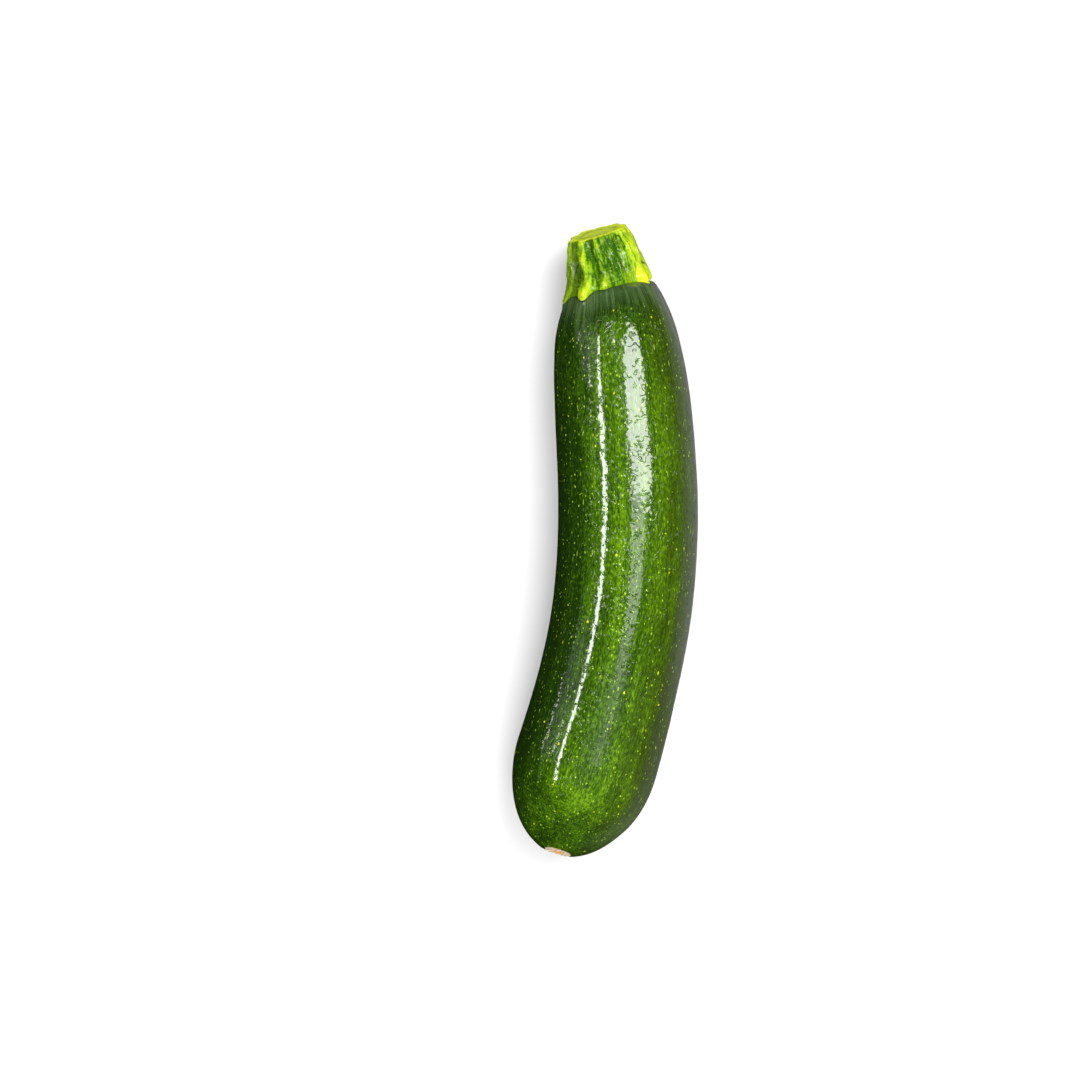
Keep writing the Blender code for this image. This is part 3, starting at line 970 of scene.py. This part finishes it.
def floor_material(look):
    """Pale floor that throws less light back than it shows, and is mirrored only on the +X side."""
    material, tree, shader = new_material("pale floor", {"Roughness": 0.9, "Specular IOR Level": 0.1})
    place = add_node(tree, "ShaderNodeTexCoord").outputs["Object"]
    across = add_node(tree, "ShaderNodeSeparateXYZ", {0: place}).outputs[0]
    beside = product(tree, spread(tree, across, *MIRROR_IN), spread(tree, across, *MIRROR_OUT))
    mirrored = blend(tree, beside, grey(0.0), grey(look.floor_mirrored))
    colour = by_ray(tree, grey(look.floor_tone), mirrored, grey(look.floor_bounce))
    tree.links.new(colour, shader.inputs["Base Color"])
    return material


def add_softbox(name, x_range, y_range, radiance, shape, mirrored):
    """A level light above the zucchini, between these places along X and Y."""
    light = bpy.data.lights.new(name, "AREA")
    light.shape = shape
    light.size = x_range[1] - x_range[0]
    light.size_y = y_range[1] - y_range[0]
    area = light.size * light.size_y * (math.pi / 4 if shape == "ELLIPSE" else 1)
    light.energy = radiance * math.pi * area
    lamp = bpy.data.objects.new(name, light)
    lamp.location = (sum(x_range) / 2, sum(y_range) / 2, LIGHT_HEIGHT)
    lamp.visible_camera = False
    lamp.visible_glossy = mirrored
    bpy.context.scene.collection.objects.link(lamp)


def make_stage(look):
    """Pale floor, plain pale surroundings, soft lights, and the camera straight above."""
    bm = bmesh.new()
    bmesh.ops.create_grid(bm, x_segments=1, y_segments=1, size=look.floor_size / 2)
    mesh = bpy.data.meshes.new("floor")
    bm.to_mesh(mesh)
    bm.free()
    mesh.materials.append(floor_material(look))
    floor = bpy.data.objects.new("floor", mesh)
    floor.location.z = -FLOOR_DROP
    scene = bpy.context.scene
    scene.collection.objects.link(floor)

    for name, x_range, y_range, source, factor, shape, mirrored in SOFTBOXES:
        add_softbox(name, x_range, y_range, getattr(look, source) * factor, shape, mirrored)

    world = bpy.data.worlds.new("pale room")
    world.use_nodes = True
    tree = world.node_tree
    colour = by_ray(tree, grey(ROOM_TONE), grey(look.room_mirrored), grey(look.room_light))
    tree.links.new(colour, tree.nodes["Background"].inputs["Color"])
    scene.world = world
    scene.view_settings.view_transform = "Standard"

    lens = bpy.data.cameras.new("camera")
    lens.sensor_width = 36.0
    lens.lens = lens.sensor_width * look.camera_height / look.frame_width
    camera = bpy.data.objects.new("camera", lens)
    x, y, z = VIEW_CENTRE
    camera.location = (x, y, z + look.camera_height)
    scene.collection.objects.link(camera)
    scene.camera = camera


def colour_prop(name, description, red, green, blue):
    return bpy.props.FloatVectorProperty(
        name=name,
        description=description,
        subtype="COLOR",
        size=4,
        min=0.0,
        max=1.0,
        default=(red, green, blue, 1.0),
    )


def length_prop(name, description, default):
    return bpy.props.FloatProperty(
        name=name, description=description, default=default, min=0.0, subtype="DISTANCE", unit="LENGTH"
    )


def factor_prop(name, description, default):
    return bpy.props.FloatProperty(
        name=name, description=description, default=default, min=0.0, max=1.0, subtype="FACTOR"
    )


def light_prop(name, description, default):
    return bpy.props.FloatProperty(name=name, description=description, default=default, min=0.0)


class ZucchiniSkinLook(bpy.types.PropertyGroup):
    dark: colour_prop("Dark", "Deepest green of the skin", 0.006, 0.020, 0.0006)
    middle: colour_prop("Middle", "Common green of the skin", 0.026, 0.070, 0.0010)
    # Painted light: this brightest green is painted where the skin faces the lamps.
    bright: colour_prop("Bright", "Brightest green, on the side to the sun", 0.090, 0.190, 0.0012)
    # Painted reflection: the greyer haze of reflected light on the +X side.
    painted_haze: colour_prop("Olive", "Duller green of the skin's +X side", 0.060, 0.080, 0.006)
    shoulder: colour_prop("Shoulder", "Bluish green beside the stem", 0.028, 0.058, 0.014)
    pale: colour_prop("Pale streaks", "Grey-green streaks that spread from the stem", 0.10, 0.16, 0.06)
    fleck: colour_prop("Fleck", "Small flecks", 0.28, 0.44, 0.03)
    yellow_fleck: colour_prop("Yellow fleck", "Large flecks", 0.42, 0.46, 0.01)
    scar: colour_prop("Scar", "Corky blossom scar", 0.62, 0.52, 0.38)
    scar_dark: colour_prop("Scar, dark", "Pits of the blossom scar", 0.36, 0.24, 0.12)
    scar_heart: colour_prop("Scar, middle", "Middle of the blossom scar", 0.60, 0.20, 0.03)
    roughness: factor_prop("Roughness", "Roughness under the wax", 0.13)
    wax: factor_prop("Wax", "Strength of the clear wax layer", 0.85)
    dents: length_prop("Dents", "Depth of the soft unevenness of the skin", 0.1 * MM)


class ZucchiniStemLook(bpy.types.PropertyGroup):
    groove: colour_prop("Groove", "Dark green of the grooves", 0.022, 0.080, 0.0010)
    side: colour_prop("Side", "Green of the stem's side", 0.14, 0.27, 0.004)
    ridge: colour_prop("Ridge", "Yellow-green of the ridges and toes", 0.42, 0.49, 0.012)
    shaded: colour_prop("Shaded side", "Olive green of the stem's -X side", 0.15, 0.18, 0.004)
    vein: colour_prop("Vein", "Thin dark lines, mostly in the grooves", 0.010, 0.040, 0.0006)
    dot: colour_prop("Dot", "Pale dots and bristles", 0.55, 0.62, 0.16)
    pith: colour_prop("Pith", "Pale middle of the cut face", 0.50, 0.58, 0.05)
    rind: colour_prop("Rind", "Bright rim of the cut face", 0.58, 0.66, 0.03)
    bristles: bpy.props.IntProperty(
        name="Bristles", description="How many bristles", default=350, min=1, max=2000
    )
    bristle_length: length_prop("Bristle length", "Length of the longest bristles", 0.9 * MM)


class ZucchiniStageLook(bpy.types.PropertyGroup):
    floor_size: length_prop("Floor size", "Side of the square floor", 8.0)
    floor_tone: factor_prop("Floor tone", "How pale the floor is", 0.6)
    floor_bounce: factor_prop("Floor bounce", "How much light the floor throws back", 0.22)
    floor_mirrored: factor_prop("Floor mirrored", "How pale the floor is in reflections", 0.13)
    room_light: factor_prop("Room light", "Light from all sides", 0.24)
    room_mirrored: factor_prop("Room mirrored", "How pale the room is in reflections", 0.01)
    key: light_prop("Key", "Brightness of the large softbox", 12.0)
    strip: light_prop("Strip", "Brightness of the narrow light", 17.0)
    fill: light_prop("Fill", "Brightness of the wide soft light, which isn't mirrored", 1.4)
    camera_height: length_prop("Camera height", "From the zucchini's middle to the camera", 1.2)
    frame_width: length_prop("Frame width", "Width of what the camera sees at the zucchini's middle", 0.3413)


class ZUCCHINI_OT_make_fruit(bpy.types.Operator):
    """Makes the fruit's skin, with its faint ribs, dents, flecks and blossom scar"""

    bl_idname = "zucchini.make_fruit"
    bl_label = "Make Fruit"

    def execute(self, context):
        look = context.scene.zucchini_skin
        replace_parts(make_fruit(skin_material(look), look.dents), "fruit")
        return {"FINISHED"}


class ZUCCHINI_OT_make_stem(bpy.types.Operator):
    """Makes the stub of the stem, with its ridges, toes, fibres and cut face"""

    bl_idname = "zucchini.make_stem"
    bl_label = "Make Stem"

    def execute(self, context):
        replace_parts(make_stem(stem_material(context.scene.zucchini_stem)), "stem")
        return {"FINISHED"}


class ZUCCHINI_OT_make_bristles(bpy.types.Operator):
    """Makes the short stiff hairs on the stem"""

    bl_idname = "zucchini.make_bristles"
    bl_label = "Make Bristles"

    def execute(self, context):
        look = context.scene.zucchini_stem
        make_bristles(bristle_material(look), look.bristles, look.bristle_length)
        return {"FINISHED"}


class ZUCCHINI_OT_make_stage(bpy.types.Operator):
    """Makes the pale floor, the soft lights and the camera"""

    bl_idname = "zucchini.make_stage"
    bl_label = "Make Stage"

    def execute(self, context):
        make_stage(context.scene.zucchini_stage)
        return {"FINISHED"}


OPERATORS = (ZUCCHINI_OT_make_fruit, ZUCCHINI_OT_make_stem, ZUCCHINI_OT_make_bristles, ZUCCHINI_OT_make_stage)
LOOKS = {
    "zucchini_skin": ZucchiniSkinLook,
    "zucchini_stem": ZucchiniStemLook,
    "zucchini_stage": ZucchiniStageLook,
}


class ZUCCHINI_PT_panel(bpy.types.Panel):
    """Lists the zucchini's operators with their colours and sizes"""

    bl_idname = "ZUCCHINI_PT_panel"
    bl_label = "Zucchini"
    bl_space_type = "VIEW_3D"
    bl_region_type = "UI"
    bl_category = "Zucchini"

    def draw(self, context):
        for operator in OPERATORS:
            self.layout.operator(operator.bl_idname)
        for look in LOOKS:
            box = self.layout.box()
            group = getattr(context.scene, look)
            for name in group.bl_rna.properties.keys():
                if name not in ("rna_type", "name"):
                    box.prop(group, name)


def register():
    for group in LOOKS.values():
        bpy.utils.register_class(group)
    for operator in OPERATORS:
        bpy.utils.register_class(operator)
    bpy.utils.register_class(ZUCCHINI_PT_panel)
    for name, group in LOOKS.items():
        setattr(bpy.types.Scene, name, bpy.props.PointerProperty(type=group))


def unregister():
    for name in LOOKS:
        delattr(bpy.types.Scene, name)
    bpy.utils.unregister_class(ZUCCHINI_PT_panel)
    for operator in reversed(OPERATORS):
        bpy.utils.unregister_class(operator)
    for group in reversed(LOOKS.values()):
        bpy.utils.unregister_class(group)


def main():
    """Makes every piece and the stage."""
    register()
    streaks_group()
    flecks_group()
    bpy.ops.zucchini.make_fruit()
    bpy.ops.zucchini.make_stem()
    bpy.ops.zucchini.make_bristles()
    bpy.ops.zucchini.make_stage()


if __name__ == "__main__":
    main()
